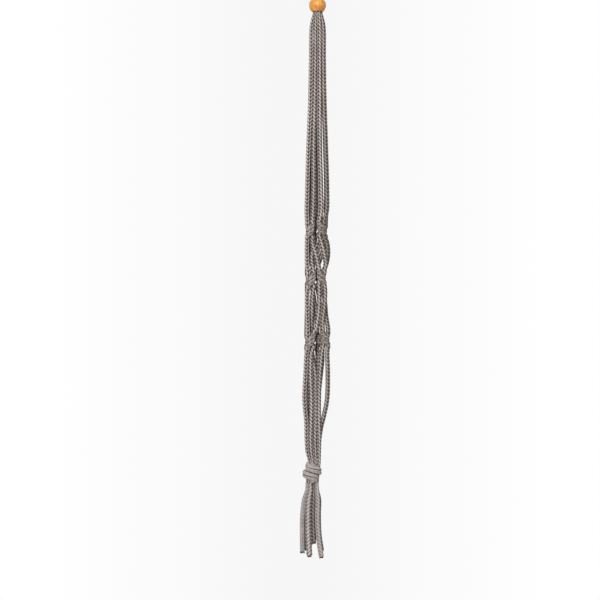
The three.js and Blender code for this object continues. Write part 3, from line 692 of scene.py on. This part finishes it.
def rolled_grid(bm, around, steps):
    """A grid whose left and right edges are one seam. Returns its vertices with their turns and steps."""
    made = bmesh.ops.create_grid(bm, x_segments=around, y_segments=steps, size=1)["verts"]
    left = sorted((v for v in made if v.co.x < -1 + 1 / around), key=lambda v: v.co.y)
    right = sorted((v for v in made if v.co.x > 1 - 1 / around), key=lambda v: v.co.y)
    bmesh.ops.weld_verts(bm, targetmap=dict(zip(right, left)))
    verts = [v for v in made if v.is_valid]
    flat = np.array([v.co[:2] for v in verts])
    return verts, (flat[:, 0] + 1) / 2, np.rint((flat[:, 1] + 1) / 2 * steps).astype(int)


def close_ends(bm, verts):
    """Fills the open rings at both ends of a tube."""
    ends = [edge for edge in {e for v in verts for e in v.link_edges} if edge.is_boundary]
    bmesh.ops.holes_fill(bm, edges=ends, sides=0)


def finished(name, bm, material):
    """Turns a bmesh into an object at the origin with one material."""
    bmesh.ops.recalc_face_normals(bm, faces=bm.faces)
    mesh = bpy.data.meshes.new(name)
    bm.to_mesh(mesh)
    bm.free()
    mesh.shade_smooth()
    mesh.materials.append(material)
    piece = bpy.data.objects.new(name, mesh)
    bpy.context.scene.collection.objects.link(piece)
    return piece


class Yarn:
    """Braided cords and loose plies that become one piece, tinted evenly or from row to row, the tints partly painted
    shade.
    """

    def __init__(self, *tints):
        self.bm = bmesh.new()
        self.tints = tints
        self.layers = [self.bm.verts.layers.float.new(label) for label in ("stitch", "ply", "tint")]

    def place(self, verts, places, stitches, plies):
        """Puts the vertices in their places, with what the yarn's finish reads from each."""
        stitch_layer, ply_layer, tint_layer = self.layers
        tints = np.interp(-places[:, 2], tint_depths[:len(self.tints)], self.tints)
        for vert, place, stitch, ply, tint in zip(verts, places, stitches, plies, tints):
            vert.co = place
            vert[stitch_layer] = stitch
            vert[ply_layer] = ply
            vert[tint_layer] = tint
        close_ends(self.bm, verts)

    def add_braid(self, line, roll, diameter=CORD, flatness=1.0, short=0, stretch=0, within=None):
        """A braided cord along a line, left off for its last short steps. The more it is stretched, the
        flatter its stitches lie. Inside a bundle round another line, shade is painted darker towards it."""
        steps = line.steps - short
        verts, turns, step = rolled_grid(self.bm, FACES_AROUND, steps)
        stitches = line.along[step] / STITCH
        height = stitch_height((turns + roll) % 1, stitches)
        height += stretch * (STRETCHED_HEIGHT - height)
        thick = line.thickness[step]
        fullness = 1 + FULL_YARN * (thick - BORE_THICKNESS_SHARE) / (1 - BORE_THICKNESS_SHARE)
        radius = (diameter / 2 * fullness - STITCH_DEPTH * (1 - height)) * thick
        angle = turns * 2 * math.pi
        out = (radius * np.cos(angle) * flatness)[:, None] * line.side[step]
        over = (radius * np.sin(angle))[:, None] * line.other_side[step]
        places = line.places[step] + out + over
        zigzag = np.abs((turns + roll) * COLUMNS % 2 - 1)
        # Painted shade: yarn deep inside a bundle is darkened towards the bundle's middle line.
        if within is not None:
            height = height * within.openness(places, GATHER_BUNDLE / 2)
        self.place(verts, places, height, stitches + STITCH_SLANT * zigzag)

    def add_fray(self, line, flare, seed):
        """The plies that stand out of a cut end, each leaning out a little its own way."""
        chance = np.random.default_rng(seed)
        end, ahead = line.places[-1], line.ahead[-1]
        for ply in range(PLIES):
            turn = (ply + chance.uniform(*PLY_STRAY)) / PLIES * 2 * math.pi
            ring = CORD / 2 * PLY_RINGS[ply % len(PLY_RINGS)]
            lean = flare * chance.uniform(*PLY_LEAN)
            short = chance.uniform(*PLY_SHORTER)
            verts, turns, step = rolled_grid(self.bm, PLY_SIDES, PLY_STEPS)
            share = step / PLY_STEPS
            way = math.cos(turn) * line.side[-1] + math.sin(turn) * line.other_side[-1]
            past_end = FRAY * (share * (FRAY_ROOT - short) - FRAY_ROOT)
            from_middle = ring * (1 + lean * share**2)
            middle_line = end + past_end[:, None] * ahead + from_middle[:, None] * way
            radius = PLY / 2 * (1 - PLY_THINNING * share**3)
            angle = turns * 2 * math.pi
            section = np.cos(angle)[:, None] * line.side[-1] + np.sin(angle)[:, None] * line.other_side[-1]
            lit = np.full(len(verts), chance.uniform(*PLY_LIGHT))
            self.place(verts, middle_line + radius[:, None] * section, lit, share * 2 + ply)

    def piece(self, name):
        return finished(name, self.bm, cord_finish)


class Number:
    """A number in a node tree. Plain arithmetic on it adds the nodes."""

    def __init__(self, nodes, socket):
        self.nodes = nodes
        self.socket = socket

    def worked(self, operation, *values):
        node = self.nodes.add("ShaderNodeMath", {"operation": operation}, dict(enumerate(values)))
        return Number(self.nodes, node.outputs[0])

    def __add__(self, other):
        return self.worked("ADD", self, other)

    def __sub__(self, other):
        return self.worked("SUBTRACT", self, other)

    def __mul__(self, other):
        return self.worked("MULTIPLY", self, other)

    def __truediv__(self, other):
        return self.worked("DIVIDE", self, other)

    def __pow__(self, other):
        return self.worked("POWER", self, other)

    def __radd__(self, other):
        return self.worked("ADD", other, self)

    def __rsub__(self, other):
        return self.worked("SUBTRACT", other, self)

    def __rmul__(self, other):
        return self.worked("MULTIPLY", other, self)

    def wave(self):
        """A sine of so many whole turns, from 0 to 1."""
        return 0.5 + 0.5 * self.worked("SINE", self * (2 * math.pi))

    def size(self):
        return self.worked("ABSOLUTE", self)

    def between(self, low, high):
        """0 below low and 1 above high, evenly between."""
        share = (self - low) / (high - low)
        return self.worked("MAXIMUM", self.worked("MINIMUM", share, 1), 0)


class Nodes:
    """The nodes of a material or a world."""

    def __init__(self, owner):
        owner.use_nodes = True
        self.tree = owner.node_tree

    def add(self, kind, settings=(), inputs=()):
        """Any node: its type, its settings, and its sockets' values or what they are linked to."""
        node = self.tree.nodes.new(kind)
        for key, value in dict(settings).items():
            setattr(node, key, value)
        for key, value in dict(inputs).items():
            self.feed(node.inputs[key], value)
        return node

    def feed(self, socket, value):
        if isinstance(value, Number):
            value = value.socket
        if isinstance(value, bpy.types.NodeSocket):
            self.tree.links.new(value, socket)
        else:
            socket.default_value = value

    def attribute(self, name):
        return Number(self, self.add("ShaderNodeAttribute", {"attribute_name": name}).outputs["Fac"])

    def noise(self, scale, detail, stretch=(1, 1, 1)):
        """Noise on the object's own coordinates, drawn out by stretch."""
        place = self.add("ShaderNodeTexCoord").outputs["Object"]
        scaled = self.add("ShaderNodeMapping", {}, {"Vector": place, "Scale": stretch})
        inputs = {"Vector": scaled.outputs[0], "Scale": scale, "Detail": detail}
        return Number(self, self.add("ShaderNodeTexNoise", {}, inputs).outputs[0])

    def blend(self, share, first, second):
        """A colour from first at 0 to second at 1."""
        node = self.add("ShaderNodeMix", {"data_type": "RGBA"}, {0: share, 6: first, 7: second})
        return node.outputs[2]

    def bump(self, height, strength, distance):
        inputs = {"Height": height, "Strength": strength, "Distance": distance}
        return self.add("ShaderNodeBump", {}, inputs).outputs[0]


def finish_named(name, **plain):
    """A material and its shader, with what is the same all over set on the shader itself."""
    material = bpy.data.materials.new(name)
    nodes = Nodes(material)
    shader = nodes.tree.nodes["Principled BSDF"]
    for key, value in plain.items():
        shader.inputs[key.replace("_", " ")].default_value = value
    return material, nodes, shader


def braided_cord_finish():
    """Soft matt yarn: light on the stitches, with shade painted dark into the holes between them and deep inside a
    bundle.
    """
    material, nodes, shader = finish_named("braided_cord", Sheen_Weight=0.15, Sheen_Roughness=0.5)
    stitch = nodes.attribute("stitch")
    plies = (nodes.attribute("ply") * 3).wave()
    fuzz = nodes.noise(900, 3)
    patch = nodes.noise(38, 2)
    tint = nodes.attribute("tint")
    tone = nodes.blend(tint, nodes.blend(0 - tint, PINKISH_YARN, COOL_YARN), OLIVE_YARN)
    paleness = 0.6 * patch.between(0.4, 0.7) * (1 - 0.75 * tint.between(0, 1))
    worn = nodes.blend(paleness, tone, PALE_YARN)
    # Painted shade: where the stitch value is low, in the holes between stitches and deep inside a bundle, the yarn
    # blends towards the dark hole colour.
    lit = stitch.between(0.51, 0.95) ** 1.85 * (0.76 + 0.24 * plies) * (0.82 + 0.36 * fuzz)
    nodes.feed(shader.inputs["Base Color"], nodes.blend(lit, PAINTED_SHADE_IN_BRAID_HOLES, worn))
    nodes.feed(shader.inputs["Roughness"], 0.78 + 0.15 * fuzz)
    nodes.feed(shader.inputs["Normal"], nodes.bump(plies + 0.5 * fuzz, 0.35, 0.00025))
    return material


def varnished_wood_finish():
    """Honey wood with fine upright grain under a clear varnish."""
    material, nodes, shader = finish_named(
        "varnished_wood", Coat_Weight=0.9, Coat_Roughness=0.48, Specular_IOR_Level=0.3
    )
    grain = nodes.noise(190, 4, (1, 1, 0.16))
    rings = (nodes.noise(60, 2, (1, 1, 0.3)) * 7).wave()
    pores = nodes.noise(1500, 2, (1, 1, 0.08))
    share = (0.55 * grain + 0.3 * rings + 0.2 * pores).between(0.25, 0.85)
    nodes.feed(shader.inputs["Base Color"], nodes.blend(share, DARK_WOOD, LIGHT_WOOD))
    nodes.feed(shader.inputs["Roughness"], 0.42 + 0.16 * pores)
    nodes.feed(shader.inputs["Normal"], nodes.bump(pores, 0.08, 0.0002))
    return material


def make_camera():
    """Looks straight at the hanger, from so far away that its strands stand upright."""
    camera = bpy.data.objects.new("camera", bpy.data.cameras.new("camera"))
    bpy.context.scene.collection.objects.link(camera)
    camera.location = (VIEW_CENTRE[0], -CAMERA_AWAY, VIEW_CENTRE[1])
    camera.rotation_euler = (math.pi / 2, 0, 0)
    camera.data.sensor_width = SENSOR_WIDTH
    camera.data.lens = SENSOR_WIDTH * CAMERA_AWAY / VIEW_WIDTH
    bpy.context.scene.camera = camera
    bpy.context.scene.view_settings.view_transform = "Standard"


def away_from(centre):
    """How a wound cord lies: its flat side faces away from the knot's middle."""
    def outward(places):
        ways = places - np.array(centre)
        ways[:, 2] = 0
        return ways
    return outward


def declare_cord(piece, line, far_end):
    """A free cord, with its real length and the line that it follows."""
    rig.slot(piece, "braided_cord")
    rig.cord(piece, exit=line.places[0], length=line.length, diameter=CORD, far_end=far_end,
            stiffness="limp", lay="hanging", path=line.places[::8])


def make_strand(strand):
    """One strand, unbroken from the bead through its knots into the gathering knot."""
    line = Line(strand_route(strand), STEP)
    yarn = Yarn(*STRAND_TINTS_AND_SHADE[strand])
    yarn.add_braid(line, STRAND_ROLLS[strand])
    piece = yarn.piece(f"strand_{strand}")
    stretches = ("upper", "row_1_to_2", "row_2_to_3", "lower")
    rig.replaces(piece, *(f"strand_{strand}_{stretch}" for stretch in stretches))
    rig.ride(piece, "hanger")
    declare_cord(piece, line, "object")


def make_tail(strand):
    """One free end, whose braid stops short of the plies that stand out of it."""
    line = Line(tail_route(strand), STEP)
    yarn = Yarn(TAIL_TINTS_AND_SHADE[strand])
    roll = TAIL_ROLLS.get(strand, STRAND_ROLLS[strand])
    diameter = CORD * TAIL_FULLNESS.get(strand, 1)
    stretch = TAIL_STRETCHES.get(strand, 0)
    yarn.add_braid(line, roll, diameter, short=round(FRAY / STEP), stretch=stretch)
    yarn.add_fray(line, TAIL_FLARES.get(strand, TAIL_FLARE), strand)
    piece = yarn.piece(f"tail_{strand}")
    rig.replaces(piece, f"strand_{strand}_tail")
    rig.ride(piece, f"tail_{strand}")
    declare_cord(piece, line, "bare")


def make_loop(index):
    """One of the cords over the hook."""
    line = Line(loop_route(index), STEP)
    yarn = Yarn(LOOP_TINT)
    yarn.add_braid(line, LOOP_ROLL * index)
    piece = yarn.piece(f"loop_{index + 1}")
    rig.replaces(piece, f"loop_cord_{index + 1}")
    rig.ride(piece, "hanger")
    declare_cord(piece, line, "object")


def make_pair_knot(row, pair):
    """Doubled cord wound round the two strands, steeply over the front and level behind."""
    node = knot_name(row, pair)
    low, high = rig.box(node)
    centre = middle(node)
    mirror = 1 if KNOTS[row][pair][0] < 0 else -1
    centre.x += mirror * BAND_INWARD
    front = (BAND_START - FRONT_TURN) / BAND_TURNS

    def level_at(along):
        across = min(1, max(0, (along - front) / BAND_SLOPE + 0.5))
        return centre.z + BAND_DROP * (0.5 - across * across * (3 - 2 * across))

    thick = BAND_CORD * BAND_FLATNESS
    reach = ((BAND_WIDTH_SHARE * (high.x - low.x) - thick) / 2, (high.y - low.y - thick) / 2)
    stops = wound_route(centre, reach, level_at, BAND_TURNS, BAND_START, mirror, BAND_TUCK)
    outward = away_from(centre)
    middle_line = Line(stops, STEP, outward)
    left_tints, right_tints = (STRAND_TINTS_AND_SHADE[strand] for strand in pair)
    yarn = Yarn(*(BAND_TINT + (left + right) / 2 for left, right in zip(left_tints, right_tints)))
    for side, strand in zip((-1, 1), pair):
        line = middle_line.beside(0, side * BAND_APART, STEP, outward)
        yarn.add_braid(line, STRAND_ROLLS[strand], BAND_CORD, BAND_FLATNESS, stretch=BAND_STRETCH)
    piece = yarn.piece(f"wound_{node}")
    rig.replaces(piece, node)
    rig.ride(piece, "hanger")
    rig.slot(piece, "braided_cord")


def make_gather_knot():
    """The whole bundle wound round itself, steeply over the front and nearly level behind."""
    centre = middle("gather_knot")
    centre.x = GATHER_SIDEWAYS

    def level_at(along):
        down = along + GATHER_STEEPNESS * math.sin(2 * math.pi * along) / (2 * math.pi)
        return centre.z + GATHER_RISE + GATHER_DROP * (0.5 - down)

    reach = [(high - low - GATHER_BUNDLE) / 2 for low, high in zip(gather_low.xy, gather_high.xy)]
    stops = wound_route(centre, reach, level_at, GATHER_TURNS, GATHER_START, -1, GATHER_TUCK)
    outward = away_from(centre)
    middle_line = Line(stops, STEP, outward)
    yarn = Yarn(GATHER_TINT)
    ring = (GATHER_BUNDLE - GATHER_CORD) / 2
    for index in range(GATHER_CORDS):
        turn = GATHER_FAN * (index / (GATHER_CORDS - 1) - 0.5)
        line = middle_line.beside(ring * math.cos(turn), ring * math.sin(turn), STEP, outward)
        yarn.add_braid(line, GATHER_ROLL * index, GATHER_CORD, stretch=GATHER_STRETCH, within=middle_line)
    piece = yarn.piece("wound_gather_knot")
    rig.replaces(piece, "gather_knot")
    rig.ride(piece, "hanger")
    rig.slot(piece, "braided_cord")


def make_bead():
    """Turned round its bore, with both edges of the bore rounded."""
    radius = (bead_high.x - bead_low.x) / 2
    bore = bore_ring + bore_cord / 2 + GAP
    end_turn = math.asin((bead_half_height - BEAD_EDGE / 2) / radius)
    arc = [-end_turn + 2 * end_turn * step / BEAD_STEPS for step in range(BEAD_STEPS + 1)]
    outline = [Vector((radius * math.cos(turn), radius * math.sin(turn))) for turn in arc]
    corner = Vector((bore, bead_half_height))
    inside = corner - Vector((0, BEAD_EDGE))
    rounded = []
    for step in range(1, BEAD_EDGE_STEPS + 1):
        share = step / BEAD_EDGE_STEPS
        before = outline[-1].lerp(corner, share)
        after = corner.lerp(inside, share)
        rounded.append(before.lerp(after, share))
    outline = [*(Vector((across, -up)) for across, up in reversed(rounded)), *outline, *rounded]
    bm = bmesh.new()
    verts = [bm.verts.new((across, 0, bead_level + up)) for across, up in outline]
    edges = [bm.edges.new(pair) for pair in zip(verts, verts[1:] + verts[:1])]
    bmesh.ops.spin(
        bm, geom=verts + edges, cent=(0, 0, bead_level), axis=(0, 0, 1),
        angle=2 * math.pi, steps=BEAD_SPINS, use_merge=True,
    )
    piece = finished("turned_bead", bm, wood_finish)
    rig.replaces(piece, "bead")
    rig.ride(piece, "bead")
    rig.slot(piece, "wood_bead")


def area_light(name, place, size, watts):
    """A soft lamp that faces the middle of the hanger."""
    lamp = bpy.data.lights.new(name, "AREA")
    lamp.size = size
    lamp.energy = watts
    light = bpy.data.objects.new(name, lamp)
    light.location = place
    aim = Vector((VIEW_CENTRE[0], 0, VIEW_CENTRE[1])) - light.location
    light.rotation_euler = aim.to_track_quat("-Z", "Y").to_euler()
    bpy.context.scene.collection.objects.link(light)


def seen_rays(nodes):
    """1 where the camera, a reflection or glass looks, and 0 where light only bounces."""
    light_path = nodes.add("ShaderNodeLightPath")
    rays = ("Is Camera Ray", "Is Glossy Ray", "Is Transmission Ray")
    camera_ray, glossy_ray, through_ray = (Number(nodes, light_path.outputs[ray]) for ray in rays)
    return (camera_ray + glossy_ray + through_ray).between(0, 1)


def studio():
    """Even light from a white room, a little greyer right behind the hanger, and a pale floor far below."""
    world = bpy.data.worlds.new("studio")
    bpy.context.scene.world = world
    nodes = Nodes(world)
    background = nodes.tree.nodes["Background"]
    way = nodes.add("ShaderNodeTexCoord").outputs["Generated"]
    sideways = Number(nodes, nodes.add("ShaderNodeSeparateXYZ", {}, {0: way}).outputs["X"])
    white = WALL_BEHIND + (WALL_WHITE - WALL_BEHIND) * sideways.size().between(*WALL_FADE)
    nodes.feed(background.inputs["Strength"], seen_rays(nodes) * (white - ROOM_LIGHT) + ROOM_LIGHT)
    background.inputs["Color"].default_value = WHITE
    bm = bmesh.new()
    bmesh.ops.create_circle(bm, cap_ends=True, segments=FLOOR_SIDES, radius=FLOOR_RADIUS)
    bmesh.ops.translate(bm, vec=(0, 0, FLOOR_LEVEL), verts=bm.verts)
    material, nodes, shader = finish_named("pale_floor", Roughness=0.9, Emission_Strength=FLOOR_GLOW)
    tone = nodes.noise(2, 2).between(0.3, 0.7)
    nodes.feed(shader.inputs["Base Color"], nodes.blend(tone, FLOOR_PALE, FLOOR_PALER))
    nodes.feed(shader.inputs["Emission Color"], nodes.blend(seen_rays(nodes), BLACK, WHITE))
    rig.stage(finished("floor", bm, material))


make_camera()
cord_finish = braided_cord_finish()
wood_finish = varnished_wood_finish()
for strand in STRANDS:
    make_strand(strand)
for strand in STRANDS:
    make_tail(strand)
for index in range(len(LOOP_PAIRS)):
    make_loop(index)
for row, pairs in KNOTS.items():
    for pair in pairs:
        make_pair_knot(row, pair)
make_gather_knot()
make_bead()
studio()
for name, (place, size, watts) in LAMPS.items():
    area_light(name, place, size, watts)

box_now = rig.bounds()
with open("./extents.json", "w") as file:
    json.dump({"cad": [list(corner) for corner in cad_box], "visual": [list(c) for c in box_now]}, file)
